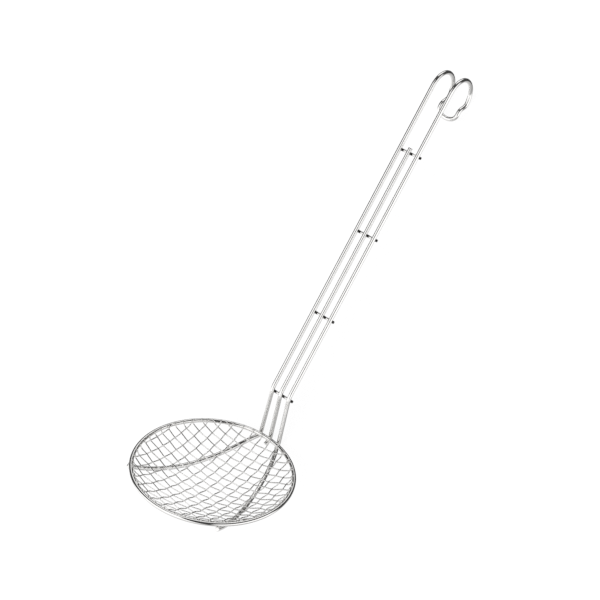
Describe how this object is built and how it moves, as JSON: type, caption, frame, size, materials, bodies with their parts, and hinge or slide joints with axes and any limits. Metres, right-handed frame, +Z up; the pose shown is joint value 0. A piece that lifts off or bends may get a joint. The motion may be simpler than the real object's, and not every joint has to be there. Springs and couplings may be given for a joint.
{
  "type": "wire skimmer",
  "caption": "Long-handled wire skimmer: a shallow round basket of woven crimped wire in a rim ring, on a handle of parallel wires with cross bars and a hanging hook.",
  "frame": {"origin": "on the table under the middle of the part's box, with the skimmer lying on its back", "axes": "+X from the basket towards the hook, +Y to the left seen from the basket, +Z up from the table"},
  "size_m": [0.4828, 0.1564, 0.1329],
  "materials": {
    "frame_nickel": "bright nickel plating on drawn round wire, with faint lengthwise drawing lines",
    "rim_nickel": "bright nickel plating, slightly duller where the mesh wires are folded over the ring",
    "mesh_nickel": "bright nickel plating on fine crimped wire, duller in the crimps"
  },
  "bodies": {
    "root": {"handle_wire": "frame_nickel", "centre_wire": "frame_nickel", "cross_bar_1": "frame_nickel", "cross_bar_2": "frame_nickel", "cross_bar_3": "frame_nickel", "cross_bar_4": "frame_nickel", "rim_ring": "rim_nickel", "long_wire_right_7": "mesh_nickel", "long_wire_right_6": "mesh_nickel", "long_wire_right_5": "mesh_nickel", "long_wire_right_4": "mesh_nickel", "long_wire_right_3": "mesh_nickel", "long_wire_right_2": "mesh_nickel", "long_wire_right_1": "mesh_nickel", "long_wire_middle": "mesh_nickel", "long_wire_left_1": "mesh_nickel", "long_wire_left_2": "mesh_nickel", "long_wire_left_3": "mesh_nickel", "long_wire_left_4": "mesh_nickel", "long_wire_left_5": "mesh_nickel", "long_wire_left_6": "mesh_nickel", "long_wire_left_7": "mesh_nickel", "cross_wire_near_9": "mesh_nickel", "cross_wire_near_8": "mesh_nickel", "cross_wire_near_7": "mesh_nickel", "cross_wire_near_6": "mesh_nickel", "cross_wire_near_5": "mesh_nickel", "cross_wire_near_4": "mesh_nickel", "cross_wire_near_3": "mesh_nickel", "cross_wire_near_2": "mesh_nickel", "cross_wire_near_1": "mesh_nickel", "cross_wire_middle": "mesh_nickel", "cross_wire_far_1": "mesh_nickel", "cross_wire_far_2": "mesh_nickel", "cross_wire_far_3": "mesh_nickel", "cross_wire_far_4": "mesh_nickel", "cross_wire_far_5": "mesh_nickel", "cross_wire_far_6": "mesh_nickel", "cross_wire_far_7": "mesh_nickel", "cross_wire_far_8": "mesh_nickel"}
  },
  "joints": []
}
